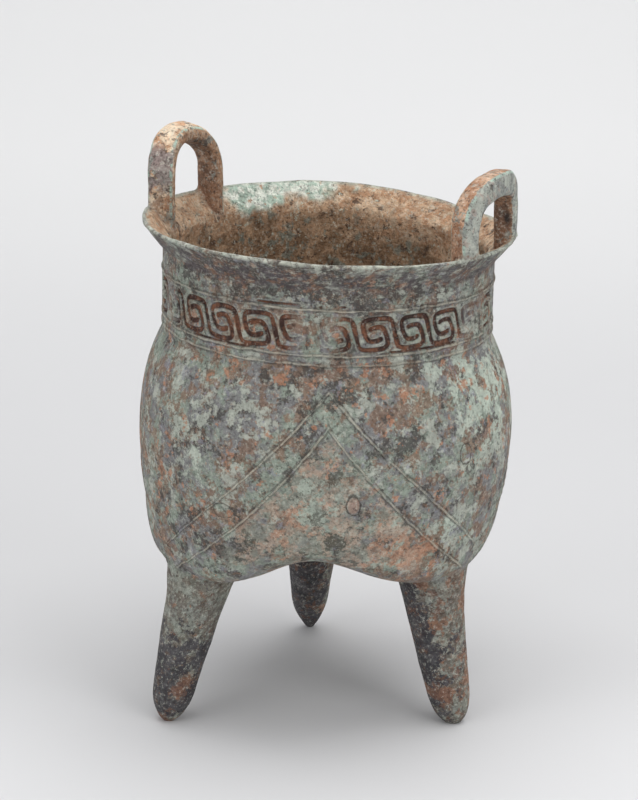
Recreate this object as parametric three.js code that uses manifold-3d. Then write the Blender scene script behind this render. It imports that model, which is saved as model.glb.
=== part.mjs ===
// Li tripod vessel in cast bronze, made in one piece: a round neck with an everted lip, a belly of
// three shallow lobes, three splayed legs under the lobes and two upright loop handles on the lip.
// A meander of linked spirals is sunk into the neck, and thin raised lines frame it and cross the belly.
// Millimetres, +Z up. The handles stand on the X axis, the one at +X over a leg. The origin is on the
// ground, under the middle of the bounding box.
import * as THREE from "three";
import { mergeVertices } from "three/addons/utils/BufferGeometryUtils.js";
import Module from "manifold-3d";

const wasm = await Module();
wasm.setup();

// Driving dimensions
const RIM_RADIUS = 70.5; // edge of the lip
const RIM_HEIGHT = 191;
const LIP_HEIGHT = 10; // how far down the lip starts to turn out
const NECK_RADIUS = 62.6;
const NECK_FOOT = 150; // where the neck meets the shoulder
const WALL = 2.7;
const LIP_EDGE = 1.7; // thickness at the very edge
const CROTCH_HEIGHT = 69; // underside in the middle, between the legs
const LOBES = 3;
// The old casting is a little askew: its body sits to one side over the feet, the neck more so, and
// the rim dips that way
const BODY_SHIFT = 6.2;
const RIM_SHIFT = 2.0;
const RIM_DIP = THREE.MathUtils.degToRad(2.6);
const SHIFT_TOWARDS = THREE.MathUtils.degToRad(29);
// Where the lip is bent down, or up where the drop is below 0, in degrees and millimetres
const LIP_SAGS = [
  { azimuth: 64, halfWidth: 24, drop: 2.6 },
  { azimuth: 122, halfWidth: 22, drop: -0.7 },
];

// Outer face of the belly from the shoulder to the underside: radius and height over a leg, and
// radius and height half way between two legs
const BELLY = {
  shoulder: { lobe: [68.2, 138], valley: [66.6, 138] },
  upperBelly: { lobe: [71.2, 124], valley: [69.0, 124] },
  widest: { lobe: [71.8, 107], valley: [68.8, 108] },
  lowerBelly: { lobe: [68.9, 83], valley: [65.6, 91] },
  haunch: { lobe: [64.6, 66.2], valley: [60.0, 78.6] },
  underEdge: { lobe: [53.5, 61.8], valley: [47, 72.9] },
  underside: { lobe: [33, 62.8], valley: [28, 70.7] },
  crotch: { lobe: [13, 67.8], valley: [13, 69.1] },
};

// The front valley lies a little to one side of half way, by so many degrees
const TURNED_VALLEY = { azimuth: 297, halfWidth: 32, turn: -3.8 };

// Each leg: its direction, how far its foot is turned from that, how far out its foot and its top
// stand, half its width near the foot, the length of its rounded tip with the power that points it,
// and how much of the tip is worn off flat
const LEGS = [
  {
    azimuth: 0,
    footTurn: 0,
    footRadius: 65.0,
    topRadius: 49.5,
    footHalfWidth: 7.3,
    tipLength: 13,
    tipPower: 0.52,
    wornOff: 0.8,
  },
  {
    azimuth: 120,
    footTurn: -1.5,
    footRadius: 64.4,
    topRadius: 49.5,
    footHalfWidth: 6.2,
    tipLength: 18,
    tipPower: 0.9,
    wornOff: 1.6,
  },
  {
    azimuth: 240,
    footTurn: -3.2,
    footRadius: 62.0,
    topRadius: 51.2,
    footHalfWidth: 7.3,
    tipLength: 14,
    tipPower: 0.6,
    wornOff: 0.8,
  },
];
const LEG_TOP = {
  height: 60, // where the legs' full width leaves the belly
  halfWidth: 12.6,
  rootHeight: 70, // above the underside, so that no gap is left at the root
  flare: 2.4, // how much the outer side swells out under the belly
};

const HANDLES = [
  {
    azimuth: THREE.MathUtils.degToRad(1.5),
    width: 47.5,
    height: 28.0,
    lean: 1.2, // how far the top stands to one side
    depth: 8.4, // along the vessel's radius
    archWidth: 9.8, // at the top of the loop
    archSquareness: 2.5,
    innerShare: 0.85, // width of the face towards the axis, as a share of the outer face's width
  },
  {
    azimuth: Math.PI,
    width: 46,
    height: 29.4,
    lean: 0,
    depth: 9.8,
    archWidth: 9.0,
    archSquareness: 2.15,
    innerShare: 0.7,
  },
];
const HANDLE = {
  limbWidth: 9.2, // along the lip
  outerRadius: 70.4,
  rootDrop: 9, // how far the limbs run down the inside of the lip
  springShare: 0.3, // of the height, where the limbs start to curve in
  sectionSquareness: 3.6,
};

const BAND = {
  middle: 164.1,
  strokesPerLobe: 9,
  grooveWidth: 1.8,
  grooveDepth: 1.0,
  wornDepth: 0.35,
  startAngle: THREE.MathUtils.degToRad(1),
};
// Half of one S-shaped stroke, along the neck and up it, from the middle of its slanting stem to the
// end of its hook. The other half is the same turned by half a turn.
const STROKE_HALF = [
  [1.7, -5.6],
  [12.0, -5.6],
  [10.4, 2.3],
  [5.0, 2.3],
];
const WORN_STROKES = [0, 22]; // rubbed nearly smooth, counted round from +X

const LINE = { width: 1.1, height: 0.55, depthBelow: 1.1 };
const NECK_LINES = [172.8, 156.2, 152.7]; // heights of the raised rings that frame the band
const ZIGZAG_TURN = THREE.MathUtils.degToRad(-0.7); // their middle, from the valley between two lobes
// Heights of the two zigzag lines, by degrees away from their middle
const ZIGZAGS = [
  { apex: 143.4, slope: -1.42, curve: 0.0043, reach: 60 },
  { apex: 131, slope: -1.68, curve: 0.0093, reach: 57 },
];

const COLUMNS = 36;
const INNER_COLUMNS = 30;

// 1 at an azimuth, falling off to both sides of it, in degrees
function nearness(azimuth, middle, halfWidth) {
  const away = THREE.MathUtils.euclideanModulo(azimuth - middle + 180, 360) - 180;
  return Math.exp(-((away / halfWidth) ** 2));
}

// 1 over a leg, 0 half way between two legs; broad on the lobes and narrower in the valleys
function lobeShare(angle) {
  const { azimuth, halfWidth, turn } = TURNED_VALLEY;
  const bend = turn * nearness(THREE.MathUtils.radToDeg(angle), azimuth, halfWidth);
  const wave = 0.5 + 0.5 * Math.cos(LOBES * (angle - THREE.MathUtils.degToRad(bend)));
  return wave * (2 - wave);
}

// The lip's outer face, from its edge down to the neck
function lipPoint(share) {
  const flare = (RIM_RADIUS - NECK_RADIUS) * Math.pow(share, 1.15);
  return new THREE.Vector2(RIM_RADIUS - flare, RIM_HEIGHT - LIP_HEIGHT * share);
}

// The belly's meridian at an angle, from the foot of the neck to the middle of the underside
function bellyCurve(angle) {
  const share = lobeShare(angle);
  const points = [new THREE.Vector2(NECK_RADIUS, NECK_FOOT)];
  for (const { lobe, valley } of Object.values(BELLY)) {
    points.push(new THREE.Vector2(...valley).lerp(new THREE.Vector2(...lobe), share));
  }
  points.push(new THREE.Vector2(0, CROTCH_HEIGHT));
  return new THREE.SplineCurve(points);
}

// Points and outward normals down the whole outer face at an angle, with or without raised neck lines
function meridian(angle, lipRows, bellyRows, neckLines) {
  const rows = [];
  for (let i = 0; i < lipRows; i++) rows.push(lipPoint(i / lipRows));
  rows.push(new THREE.Vector2(NECK_RADIUS, RIM_HEIGHT - LIP_HEIGHT));
  for (const height of neckLines) {
    rows.push(new THREE.Vector2(NECK_RADIUS, height + 0.5 * LINE.width));
    rows.push(new THREE.Vector2(NECK_RADIUS + LINE.height, height));
    rows.push(new THREE.Vector2(NECK_RADIUS, height - 0.5 * LINE.width));
  }
  const belly = bellyCurve(angle);
  for (let i = 0; i < bellyRows; i++) rows.push(belly.getPoint(i / bellyRows));
  return rows.map((point, i) => {
    const before = rows[Math.max(i - 1, 0)];
    const after = rows[Math.min(i + 1, rows.length - 1)];
    const along = after.clone().sub(before).normalize();
    return { point, normal: new THREE.Vector2(-along.y, along.x) };
  });
}

// The rings of the outer face sunk by an inset that may change from the lip, row 0, downwards
function wallRings(columns, lipRows, bellyRows, neckLines, inset) {
  const meridians = Array.from({ length: columns }, (_, i) =>
    meridian((2 * Math.PI * i) / columns, lipRows, bellyRows, neckLines)
  );
  return meridians[0].map((_, row) =>
    meridians.map((rows, i) => {
      const { point, normal } = rows[row];
      const sunk = point.clone().addScaledVector(normal, -inset(row));
      if (row === 0) sunk.y = RIM_HEIGHT;
      const angle = (2 * Math.PI * i) / columns;
      return new THREE.Vector3(sunk.x * Math.cos(angle), sunk.x * Math.sin(angle), sunk.y);
    })
  );
}

// Radius of the belly at an angle and height
function bellyRadius(angle, height) {
  const curve = bellyCurve(angle);
  let [low, high] = [0, 1];
  for (let step = 0; step < 24; step++) {
    const middle = 0.5 * (low + high);
    if (curve.getPoint(middle).y > height) low = middle;
    else high = middle;
  }
  return curve.getPoint(low).x;
}

// A closed surface through rings of points, both ends closed by a fan round the ring's middle
function loft(rings) {
  const count = rings[0].length;
  const middle = (ring) =>
    ring.reduce((sum, point) => sum.add(point), new THREE.Vector3()).divideScalar(ring.length);
  const points = [...rings.flat(), middle(rings[0]), middle(rings.at(-1))];
  const [first, last] = [points.length - 2, points.length - 1];
  const index = [];
  for (let j = 0; j < count; j++) {
    const next = (j + 1) % count;
    for (let i = 0; i < rings.length - 1; i++) {
      const [a, b] = [i * count + j, i * count + next];
      const [c, d] = [a + count, b + count];
      index.push(a, b, d, a, d, c);
    }
    const end = (rings.length - 1) * count;
    index.push(first, next, j, last, end + j, end + next);
  }
  return new THREE.BufferGeometry().setFromPoints(points).setIndex(index);
}

function solid(geometry) {
  const merged = mergeVertices(geometry, 1e-4);
  const triVerts = new Uint32Array(merged.index.array);
  const vertProperties = new Float32Array(merged.attributes.position.array);
  const made = new wasm.Manifold(new wasm.Mesh({ numProp: 3, vertProperties, triVerts }));
  if (made.volume() > 0) return made;
  for (let i = 0; i < triVerts.length; i += 3) {
    [triVerts[i + 1], triVerts[i + 2]] = [triVerts[i + 2], triVerts[i + 1]];
  }
  return new wasm.Manifold(new wasm.Mesh({ numProp: 3, vertProperties, triVerts }));
}

function joined(solids) {
  return solids.reduce((sum, next) => sum.add(next));
}

// The vessel as if it were filled to the lip
function filled() {
  return solid(loft(wallRings(COLUMNS, 3, 16, NECK_LINES, () => 0)));
}

// The space inside, from the middle of its floor up and out of the mouth
function hollow() {
  const rings = wallRings(INNER_COLUMNS, 2, 11, [], (row) => (row === 0 ? LIP_EDGE : WALL));
  const mouth = rings[0].map((point) => point.clone().setZ(RIM_HEIGHT + 5));
  return solid(loft([mouth, ...rings]));
}

// How the upright form is bent askew: nothing moves at the ground, the rim moves most
function askew(point) {
  const share = THREE.MathUtils.clamp(point.z / RIM_HEIGHT, 0, 1);
  const towards = new THREE.Vector3(Math.cos(SHIFT_TOWARDS), Math.sin(SHIFT_TOWARDS), 0);
  const dip = point.dot(towards) * Math.tan(RIM_DIP) * share * share;
  const shift = BODY_SHIFT * THREE.MathUtils.smoothstep(point.z, 0, 110) + RIM_SHIFT * share ** 3;
  const onLip = THREE.MathUtils.smoothstep(point.z, RIM_HEIGHT - 1.5 * LIP_HEIGHT, RIM_HEIGHT);
  const azimuth = THREE.MathUtils.radToDeg(Math.atan2(point.y, point.x));
  const sag = LIP_SAGS.reduce(
    (sum, { azimuth: middle, halfWidth, drop }) => sum + onLip * drop * nearness(azimuth, middle, halfWidth),
    0
  );
  return point.clone().addScaledVector(towards, shift).setZ(point.z - dip - sag);
}

// A level direction at an angle in degrees
function direction(degrees) {
  const angle = THREE.MathUtils.degToRad(degrees);
  return new THREE.Vector3(Math.cos(angle), Math.sin(angle), 0);
}

// The leg under one lobe, from below the ground up into the belly
function leg({ azimuth, footTurn, footRadius, topRadius, footHalfWidth, tipLength, tipPower, wornOff }) {
  const outward = direction(azimuth);
  const foot = direction(azimuth + footTurn).multiplyScalar(footRadius).setZ(-wornOff);
  const top = outward.clone().multiplyScalar(topRadius).setZ(LEG_TOP.height);
  const length = top.distanceTo(foot);
  const axis = top.clone().sub(foot).normalize();
  const out = direction(azimuth + 90).cross(axis).normalize();
  const side = axis.clone().cross(out);
  const halfWidth = (share) =>
    THREE.MathUtils.lerp(footHalfWidth, LEG_TOP.halfWidth, Math.pow(Math.min(share, 1), 1.15));
  const tipShares = [0.01, 0.15, 0.4, 0.7, 1].map((step) => (step * tipLength) / length);
  const shares = [...tipShares, 0.45, 0.7, 0.88, 1, LEG_TOP.rootHeight / LEG_TOP.height];
  const sides = 16;
  return solid(
    loft(
      shares.map((share) => {
        const left = 1 - Math.min((share * length) / tipLength, 1);
        const swell = 0.5 * LEG_TOP.flare * THREE.MathUtils.smoothstep(share, 0.8, 1.12);
        const radius = halfWidth(share) * Math.pow(1 - left * left, tipPower) + swell;
        return Array.from({ length: sides }, (_, i) => {
          const turn = (2 * Math.PI * i) / sides;
          return foot
            .clone()
            .addScaledVector(axis, share * length)
            .addScaledVector(outward, swell)
            .addScaledVector(side, radius * Math.cos(turn))
            .addScaledVector(out, radius * Math.sin(turn));
        });
      })
    )
  );
}

// A loop handle that follows the lip's circle: two limbs that rise from inside the lip to an arch
function handle(loop) {
  const { azimuth, width, height, lean, depth, archWidth, archSquareness, innerShare } = loop;
  const axisRadius = HANDLE.outerRadius - 0.5 * depth;
  const halfSpan = 0.5 * (width - HANDLE.limbWidth);
  const spring = RIM_HEIGHT + HANDLE.springShare * height;
  const rise = RIM_HEIGHT + height - 0.5 * archWidth - spring;
  const bulged = (value, power) => Math.sign(value) * Math.pow(Math.abs(value), 2 / power);
  const archSteps = 10;
  const path = [[halfSpan, RIM_HEIGHT - HANDLE.rootDrop, HANDLE.limbWidth]];
  for (let i = 0; i <= archSteps; i++) {
    const turn = (Math.PI * i) / archSteps;
    const up = bulged(Math.sin(turn), archSquareness);
    const across = halfSpan * bulged(Math.cos(turn), archSquareness) + lean * up;
    const wide = THREE.MathUtils.lerp(HANDLE.limbWidth, archWidth, up);
    path.push([across, spring + rise * up, wide]);
  }
  path.push([-halfSpan, RIM_HEIGHT - HANDLE.rootDrop, HANDLE.limbWidth]);
  const sides = 10;
  const rings = path.map(([across, up, wide], i) => {
    const before = path[Math.max(i - 1, 0)];
    const after = path[Math.min(i + 1, path.length - 1)];
    const run = Math.hypot(after[0] - before[0], after[1] - before[1]);
    const normal = [(after[1] - before[1]) / run, -(after[0] - before[0]) / run];
    return Array.from({ length: sides }, (_, j) => {
      const turn = (2 * Math.PI * (j + 0.5)) / sides;
      const outwards = bulged(Math.cos(turn), HANDLE.sectionSquareness);
      const radius = axisRadius + 0.5 * depth * outwards;
      const narrowed = THREE.MathUtils.lerp(innerShare, 1, 0.5 + 0.5 * outwards);
      const sideways = 0.5 * wide * narrowed * bulged(Math.sin(turn), HANDLE.sectionSquareness);
      const angle = azimuth + (across + sideways * normal[0]) / axisRadius;
      const height = up + sideways * normal[1];
      return new THREE.Vector3(radius * Math.cos(angle), radius * Math.sin(angle), height);
    });
  });
  return solid(loft(rings));
}

// Both handles, cut back to the lip's outer face below the rim
function handles() {
  const below = box(4 * RIM_RADIUS, RIM_HEIGHT).subtract(filled());
  return joined(HANDLES.map(handle)).subtract(below);
}

// A bar that follows a path over the vessel's face. A path point is [angle, height, radius of the
// face]; a section point is [share of half the width, distance out from the face].
function surfaceBar(path, width, section) {
  const flat = path.map(([angle, height, radius]) => new THREE.Vector2(angle * radius, height));
  const rings = path.map(([angle, height, radius], i) => {
    const into = flat[Math.max(i, 1)].clone().sub(flat[Math.max(i, 1) - 1]).normalize();
    const onward = Math.min(i, path.length - 2);
    const out = flat[onward + 1].clone().sub(flat[onward]).normalize();
    const along = into.clone().add(out).normalize();
    const reach = (0.5 * width) / along.dot(into);
    return section.map(([side, lift]) => {
      const turn = angle - (side * reach * along.y) / radius;
      return new THREE.Vector3(
        (radius + lift) * Math.cos(turn),
        (radius + lift) * Math.sin(turn),
        height + side * reach * along.x
      );
    });
  });
  return solid(loft(rings));
}

// Every S-shaped groove of the meander
function meander() {
  const count = LOBES * BAND.strokesPerLobe;
  const halfTurned = STROKE_HALF.map(([along, up]) => [-along, -up]).reverse();
  const stroke = [...halfTurned, ...STROKE_HALF];
  return Array.from({ length: count }, (_, i) => {
    const middle = BAND.startAngle + (2 * Math.PI * i) / count;
    const path = stroke.map(([along, up]) => [
      middle + along / NECK_RADIUS,
      BAND.middle + up,
      NECK_RADIUS,
    ]);
    const depth = WORN_STROKES.includes(i) ? BAND.wornDepth : BAND.grooveDepth;
    return surfaceBar(path, BAND.grooveWidth, [[-0.8, -depth], [0.8, -depth], [1.3, 1], [-1.3, 1]]);
  });
}

// The raised lines that fall from each valley to the lobes on either side
function zigzagLines() {
  const steps = 6;
  const bars = [];
  for (let valley = 0; valley < LOBES; valley++) {
    const middle = (2 * Math.PI * (valley + 0.5)) / LOBES + ZIGZAG_TURN;
    for (const { apex, slope, curve, reach } of ZIGZAGS) {
      for (const side of [-1, 1]) {
        const path = Array.from({ length: steps + 1 }, (_, i) => {
          const away = (reach * i) / steps;
          const height = apex + slope * away + curve * away * away;
          const angle = middle + side * THREE.MathUtils.degToRad(away);
          return [angle, height, bellyRadius(angle, height)];
        });
        const section = [[-1, -LINE.depthBelow], [1, -LINE.depthBelow], [0, LINE.height]];
        bars.push(surfaceBar(path, LINE.width, section));
      }
    }
  }
  return bars;
}

// A square block with its underside, or its top when the height is negative, on the ground
function box(width, height) {
  const block = new THREE.BoxGeometry(width, width, Math.abs(height)).translate(0, 0, 0.5 * height);
  block.deleteAttribute("normal");
  block.deleteAttribute("uv");
  return solid(block);
}

function vessel() {
  const casting = joined([filled(), ...LEGS.map(leg), ...zigzagLines()])
    .subtract(joined(meander()))
    .subtract(hollow())
    .add(handles())
    .subtract(box(4 * RIM_RADIUS, -20));
  const { vertProperties, triVerts } = casting.getMesh();
  const points = [];
  for (let i = 0; i < vertProperties.length; i += 3) {
    points.push(askew(new THREE.Vector3().fromArray(vertProperties, i)));
  }
  const geometry = new THREE.BufferGeometry().setFromPoints(points);
  geometry.setIndex(new THREE.BufferAttribute(new Uint32Array(triVerts), 1));
  geometry.computeBoundingBox();
  const middle = geometry.boundingBox.getCenter(new THREE.Vector3());
  const bronze = new THREE.MeshStandardMaterial({ color: 0x808a7b, roughness: 0.85, metalness: 0.3 });
  const mesh = new THREE.Mesh(geometry, bronze);
  mesh.name = "vessel";
  mesh.position.set(-middle.x, -middle.y, 0);
  return mesh;
}

const group = new THREE.Group();
group.add(vessel());
export default group;
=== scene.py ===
"""Looks of the bronze li tripod: one finely modelled casting with a corroded patina, on a pale floor."""

import math
from functools import reduce

import bpy
import numpy as np
from mathutils import Matrix, Vector
from mathutils.bvhtree import BVHTree


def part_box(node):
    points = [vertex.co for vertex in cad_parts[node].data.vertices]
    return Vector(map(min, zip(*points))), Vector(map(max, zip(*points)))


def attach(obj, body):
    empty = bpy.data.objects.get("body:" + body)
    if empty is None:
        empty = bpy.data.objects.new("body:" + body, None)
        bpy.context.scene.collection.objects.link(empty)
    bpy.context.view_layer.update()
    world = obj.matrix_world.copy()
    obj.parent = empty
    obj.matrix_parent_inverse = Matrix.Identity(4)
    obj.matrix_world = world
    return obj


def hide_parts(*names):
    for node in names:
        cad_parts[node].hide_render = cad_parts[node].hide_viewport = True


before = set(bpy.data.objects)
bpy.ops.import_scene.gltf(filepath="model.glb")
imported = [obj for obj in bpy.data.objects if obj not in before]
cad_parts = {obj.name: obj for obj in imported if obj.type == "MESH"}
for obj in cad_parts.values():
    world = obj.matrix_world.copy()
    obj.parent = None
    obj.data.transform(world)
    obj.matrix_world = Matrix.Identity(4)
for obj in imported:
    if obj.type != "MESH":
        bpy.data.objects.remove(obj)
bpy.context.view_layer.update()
BOX_LOW, BOX_HIGH = [np.array(corner) * 1000 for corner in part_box("vessel")]

# Sizes in millimetres, the same as in the solid
RIM_RADIUS = 70.5
RIM_HEIGHT = 191
LIP_HEIGHT = 10
NECK_RADIUS = 62.6
NECK_FOOT = 150
WALL = 2.7
LIP_EDGE = 1.9
CROTCH_HEIGHT = 69
LOBES = 3
BODY_SHIFT = 6.2
RIM_SHIFT = 2.0
RIM_DIP = math.radians(2.6)
SHIFT_TOWARDS = math.radians(29)
LIP_SAGS = [(64, 24, 2.6), (122, 22, -0.7)]  # azimuth, half width in degrees, drop
BELLY = [  # radius and height over a leg, then between two legs
    ((68.2, 138), (66.6, 138)),
    ((71.2, 124), (69.0, 124)),
    ((71.8, 107), (68.8, 108)),
    ((68.9, 83), (65.6, 91)),
    ((64.6, 66.2), (60.0, 78.6)),
    ((53.5, 61.8), (47, 72.9)),
    ((33, 62.8), (28, 70.7)),
    ((13, 67.8), (13, 69.1)),
]
TURNED_VALLEY = (297, 32, -3.8)  # azimuth, half width and turn of the front valley, in degrees
LEGS = [  # azimuth, turn of the foot, foot and top radius, half width at the foot, tip, worn off
    (0, 0, 65.0, 49.5, 7.3, (13, 0.52), 0.8),
    (120, -1.5, 64.4, 49.5, 6.2, (18, 0.9), 1.6),
    (240, -3.2, 62.0, 51.2, 7.3, (14, 0.6), 0.8),
]
LEG_TOP_HEIGHT, LEG_TOP_HALF_WIDTH, LEG_ROOT_HEIGHT, LEG_FLARE = 60, 12.6, 70, 2.4
HANDLES = [  # azimuth, width, height, lean, depth, arch width and squareness, inner width share
    (math.radians(1.5), 47.5, 28.0, 1.2, 8.4, 9.8, 2.5, 0.85),
    (math.pi, 46.0, 29.4, 0.0, 9.8, 9.0, 2.15, 0.7),
]
LIMB_WIDTH, HANDLE_OUTER, ROOT_DROP, SPRING_SHARE, SECTION_SQUARENESS = 9.2, 70.4, 9, 0.3, 3.6
BAND_MIDDLE, STROKES, GROOVE_WIDTH, GROOVE_DEPTH = 164.1, 27, 1.75, 1.0
BAND_START = math.radians(1)
NECK_LINES = [172.8, 156.2, 152.7]
ZIGZAG_TURN = -0.7
ZIGZAGS = [(143.4, -1.42, 0.0043, 60), (131, -1.68, 0.0093, 57)]  # apex, slope, curve, reach
STROKE_HALF = [
    (0.0, 0.0), (0.6, -2.2), (1.3, -4.4), (2.2, -5.4), (4.6, -5.75), (8.0, -5.7), (10.8, -5.3),
    (12.0, -4.2), (12.0, -2.4), (11.3, -0.3), (10.2, 1.8), (8.8, 2.6), (6.8, 2.5), (5.2, 1.9),
]

DASHES = [  # azimuth and half width in degrees, and height, of the short dashes beside the band
    (260, 12, 157.0), (333, 13, 157.1), (282, 7, 174.3), (300, 4, 174.1), (60, 20, 157.1),
]
SEAMS = (0.5, 120, 240)  # azimuths of the mould's seams on the neck
WORN = [(294.5, 8.5), (359, 9), (230, 6), (96, 10), (150, 7), (28, 6), (190, 8)]  # azimuth, width
HANDLE_RADIUS = 66.0
FRONT = 300  # azimuth of the valley in front
FOOT = 1e-3  # points below this lie on the flat of a foot

COARSE, FINE, INNER = 324, 648, 198  # columns round the body, the band and the inside
MIDDLE = np.array([7.137, 3.162])  # of the bounding box, seen from the neck's axis at the ground

# The camera: its direction, from -Y towards +X and up, its distance and what it looks at, in metres
VIEW_AZIMUTH, VIEW_ELEVATION = math.radians(28.77), math.radians(17.22)
VIEW_DISTANCE, AIM_RIGHT, AIM_UP = 0.89747, 0.004125, 0.12057

# Soft round regions of the patina: azimuth, height, half width in degrees, half height, strength
MINT = [
    (351, 141, 18, 12, 1.1), (6, 128, 16, 20, 0.9), (345, 118, 14, 14, 0.7), (339, 89, 8, 7, 0.9),
    (355, 78, 12, 10, 0.9), (293, 103, 7, 9, 1.1), (248, 133, 12, 14, 0.7), (262, 116, 12, 14, 0.6),
    (254, 97, 12, 14, 0.5), (274, 139, 8, 6, 0.5), (335, 152, 14, 5, 0.5), (120, 120, 30, 25, 0.6),
    (180, 110, 22, 20, 0.5), (60, 140, 20, 20, 0.5), (338, 170, 14, 12, 0.5), (303, 103, 5, 6, 0.7),
    (30, 110, 18, 24, 0.6), (90, 110, 14, 18, 0.4), (228, 120, 8, 20, 0.5),
    (266, 80, 22, 12, -0.7), (286, 76, 12, 8, -0.5),
]
RUST = [
    (261, 149, 10, 5, 1.0), (284, 148, 10, 4, 0.8), (312, 151, 16, 5, 1.0), (322, 140, 9, 7, 0.9),
    (11, 130, 6, 16, 1.1), (240, 96, 7, 22, 1.1), (358, 103, 7, 9, 0.8), (276, 124, 8, 8, 0.6),
    (300, 117, 7, 7, 0.6), (331, 79, 14, 9, 1.5), (320, 86, 8, 7, 0.8), (335, 101, 8, 8, 0.6),
    (290, 90, 8, 8, 0.7), (250, 123, 6, 8, 0.5), (348, 143, 5, 6, 0.5), (214, 118, 8, 26, 0.9),
    (60, 100, 25, 25, 0.6), (150, 150, 20, 14, 0.6), (200, 80, 16, 16, 0.6), (90, 80, 20, 16, 0.5),
    (262, 165, 26, 12, 0.5),
    (320, 178, 20, 6, 0.5), (40, 150, 14, 8, 0.6), (170, 130, 12, 14, 0.5), (350, 132, 14, 14, 0.5),
    (262, 182, 12, 5, 0.7), (318, 184, 16, 5, 0.6), (285, 186, 10, 4, 0.5),
]
DARK = [
    (287, 146, 9, 5, 0.8), (303, 145, 10, 6, 0.9), (264, 130, 10, 8, 0.7), (320, 127, 9, 9, 0.8),
    (302.5, 86, 3.2, 3.0, 2.4), (272, 79, 14, 9, 0.5), (253, 81, 10, 9, 0.5), (294, 127, 7, 6, 0.7),
    (282, 115, 8, 8, 0.5), (308, 78, 7, 4, 0.6), (276, 181, 24, 8, 1.5), (305, 179, 16, 6, 1.3),
    (326, 178, 18, 6, 1.0), (160, 120, 24, 30, 0.4), (30, 90, 20, 20, 0.5), (90, 140, 24, 20, 0.4),
    (245, 172, 14, 10, 0.6), (20, 160, 14, 14, 0.4), (130, 90, 14, 14, 0.5),
    (266, 82, 20, 10, 0.35), (236, 186, 16, 6, 1.0), (350, 186, 20, 5, 0.8), (266, 187, 16, 4, 0.8),
]


# Smooth noise
def lattice(ix, iy, iz, seed):
    n = (ix * 374761393 + iy * 668265263 + iz * 1440662683 + seed * 974711 + 12345) & 0xFFFFFFFF
    n = ((n ^ (n >> 13)) * 1274126177) & 0xFFFFFFFF
    n = ((n ^ (n >> 16)) * 2246822519) & 0xFFFFFFFF
    return ((n ^ (n >> 15)) & 0xFFFFFF) / float(0x7FFFFF) - 1.0


def noise(points, size, seed=0):
    """Value noise in -1..1 at points (n, 3), with lumps about size wide."""
    q = points / size
    base = np.floor(q).astype(np.int64)
    f = q - base
    f = f * f * f * (f * (f * 6 - 15) + 10)
    total = 0.0
    for corner in np.ndindex(2, 2, 2):
        weight = np.where(corner, f, 1 - f).prod(1)
        total = total + weight * lattice(*(base + corner).T, seed)
    return total


def fractal(points, size, octaves=3, seed=0):
    total, scale, norm = 0.0, 1.0, 0.0
    for octave in range(octaves):
        total = total + scale * noise(points, size / 2**octave, seed + 17 * octave)
        norm += scale
        scale *= 0.55
    return total / norm


def smoothstep(x, low, high):
    t = np.clip((x - low) / (high - low), 0, 1)
    return t * t * (3 - 2 * t)


# The casting's form
def lobe_share(angle):
    middle, half, turn = TURNED_VALLEY
    bend = turn * np.exp(-((away(angle, middle) / half) ** 2))
    wave = 0.5 + 0.5 * np.cos(LOBES * (angle - np.radians(bend)))
    return wave * (2 - wave)


def lip_profile(share):
    return RIM_RADIUS - (RIM_RADIUS - NECK_RADIUS) * share**1.15, RIM_HEIGHT - LIP_HEIGHT * share


def belly_profile(angle, t):
    """Radius and height, shape (len(t), len(angle)), down the belly's meridian at each angle."""
    share = lobe_share(angle)
    points = [np.stack([np.full_like(angle, NECK_RADIUS), np.full_like(angle, float(NECK_FOOT))])]
    for lobe, valley in BELLY:
        points.append(np.stack([valley[i] + (lobe[i] - valley[i]) * share for i in (0, 1)]))
    points.append(np.stack([np.zeros_like(angle), np.full_like(angle, float(CROTCH_HEIGHT))]))
    points = np.array(points)
    last = len(points) - 1
    rows = []
    for value in t:
        k = min(int(value * last), last - 1)
        w = value * last - k
        p0, p1 = points[max(k - 1, 0)], points[k]
        p2, p3 = points[k + 1], points[min(k + 2, last)]
        v0, v1 = (p2 - p0) / 2, (p3 - p1) / 2
        cubic = (2 * p1 - 2 * p2 + v0 + v1) * w**3 + (-3 * p1 + 3 * p2 - 2 * v0 - v1) * w**2
        rows.append(cubic + v0 * w + p1)
    rows = np.array(rows)
    return rows[:, 0], rows[:, 1]


def columns(count):
    return np.arange(count) * 2 * math.pi / count


def ring(radius, height, count):
    angle = columns(count)
    radius = np.broadcast_to(radius, angle.shape)
    height = np.broadcast_to(height, angle.shape)
    return np.stack([radius * np.cos(angle), radius * np.sin(angle), height], 1)


def filled_rings():
    edge = ((0.75, 0), (0.25, 0.22), (0.02, 0.75))
    rings = [ring(RIM_RADIUS - inset, RIM_HEIGHT - drop, COARSE) for inset, drop in edge]
    for i in range(1, 9):
        radius, height = lip_profile(0.08 + 0.92 * i / 8)
        rings.append(ring(radius, height, COARSE))
    for height in np.arange(RIM_HEIGHT - LIP_HEIGHT - 1.2, 176.4, -1.2):
        rings.append(ring(NECK_RADIUS, height, COARSE))
    for height in np.arange(176.2, 150.4, -0.5):
        rings.append(ring(NECK_RADIUS, height, FINE))
    t = np.concatenate([np.linspace(0, 0.92, 92), np.linspace(0.935, 0.985, 4)])
    radius, height = belly_profile(columns(COARSE), t)
    rings += [ring(r, h, COARSE) for r, h in zip(radius, height)]
    return rings


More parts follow.
